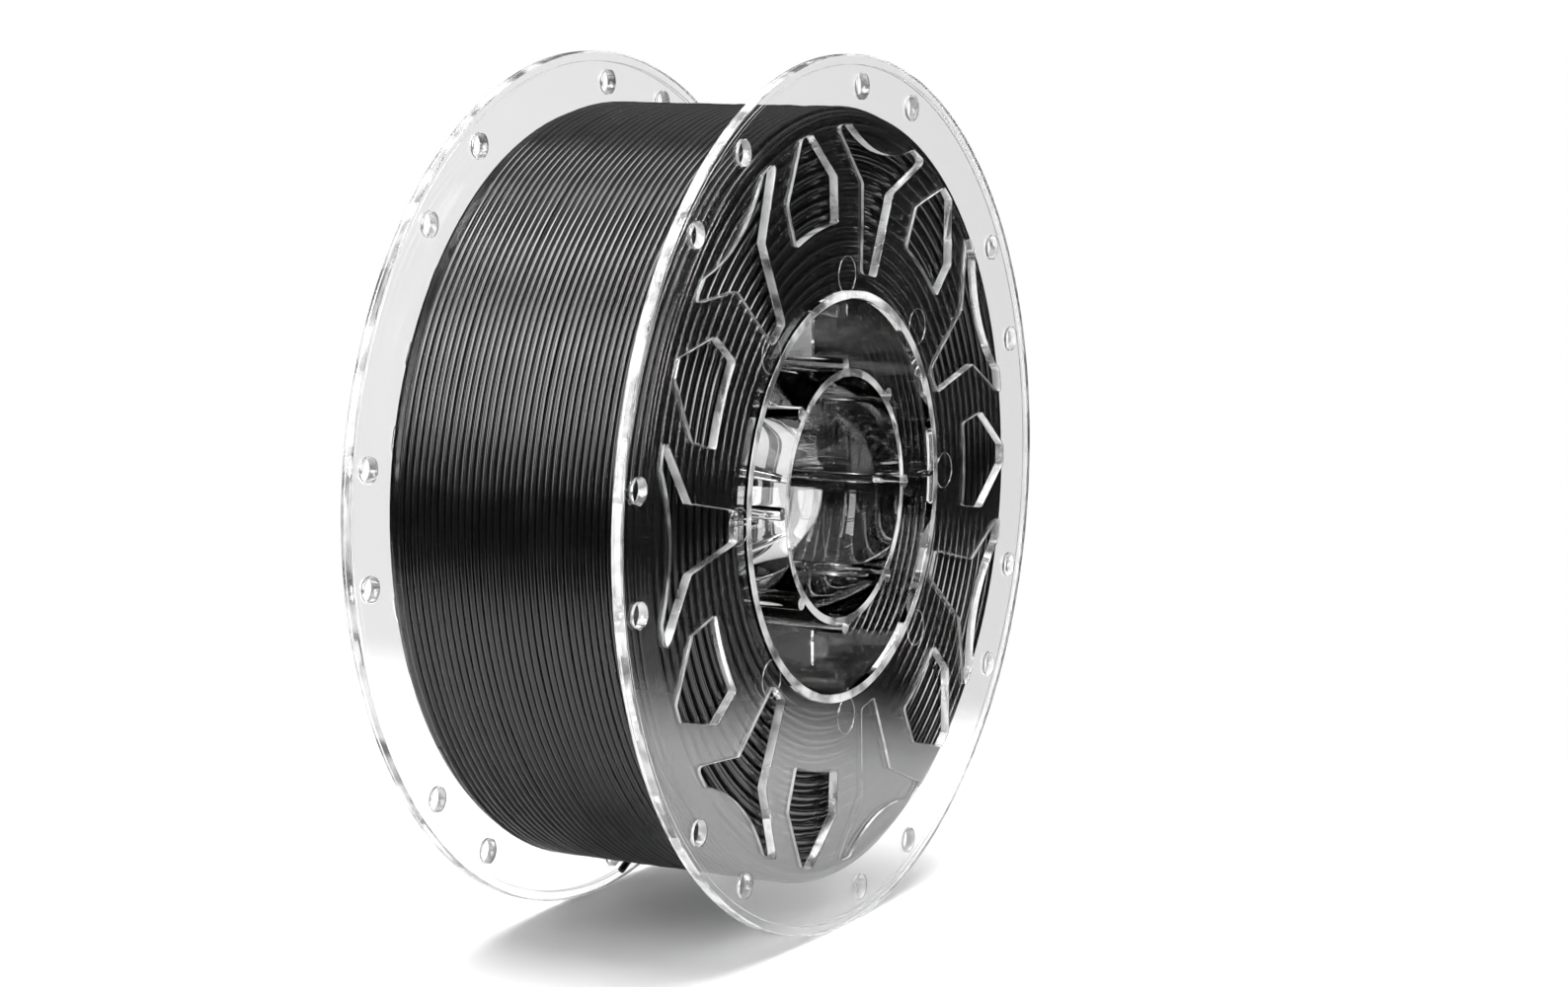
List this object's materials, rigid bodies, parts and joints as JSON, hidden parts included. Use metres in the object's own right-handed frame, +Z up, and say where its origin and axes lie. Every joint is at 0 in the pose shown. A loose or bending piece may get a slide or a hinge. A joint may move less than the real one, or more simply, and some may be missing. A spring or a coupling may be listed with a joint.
{
  "type": "filament spool",
  "caption": "Clear plastic spool with windowed flanges and an open hub, wound nearly full with black round 3D printing filament.",
  "frame": {"origin": "on the spool's axis, midway between the two flanges, at the centre of the bore", "axes": "+X along the spool's axis, towards the front flange; +Z up, with the spool standing on its two rims; +Y to the right when the front flange is seen from outside"},
  "size_m": [0.0694, 0.1998, 0.1998],
  "materials": {
    "clear_plastic": "clear, polished, injection moulded polystyrene",
    "filament": "black, satin to glossy, extruded round strand"
  },
  "bodies": {
    "root": {"front_flange": "clear_plastic", "front_drum_half": "clear_plastic", "front_bore_tube": "clear_plastic", "front_web_1": "clear_plastic", "front_web_2": "clear_plastic", "front_web_3": "clear_plastic", "front_web_4": "clear_plastic", "back_flange": "clear_plastic", "back_drum_half": "clear_plastic", "back_bore_tube": "clear_plastic", "back_web_1": "clear_plastic", "back_web_2": "clear_plastic", "back_web_3": "clear_plastic", "back_web_4": "clear_plastic", "filament_winding": "filament", "filament_free_end": "filament"}
  },
  "joints": []
}
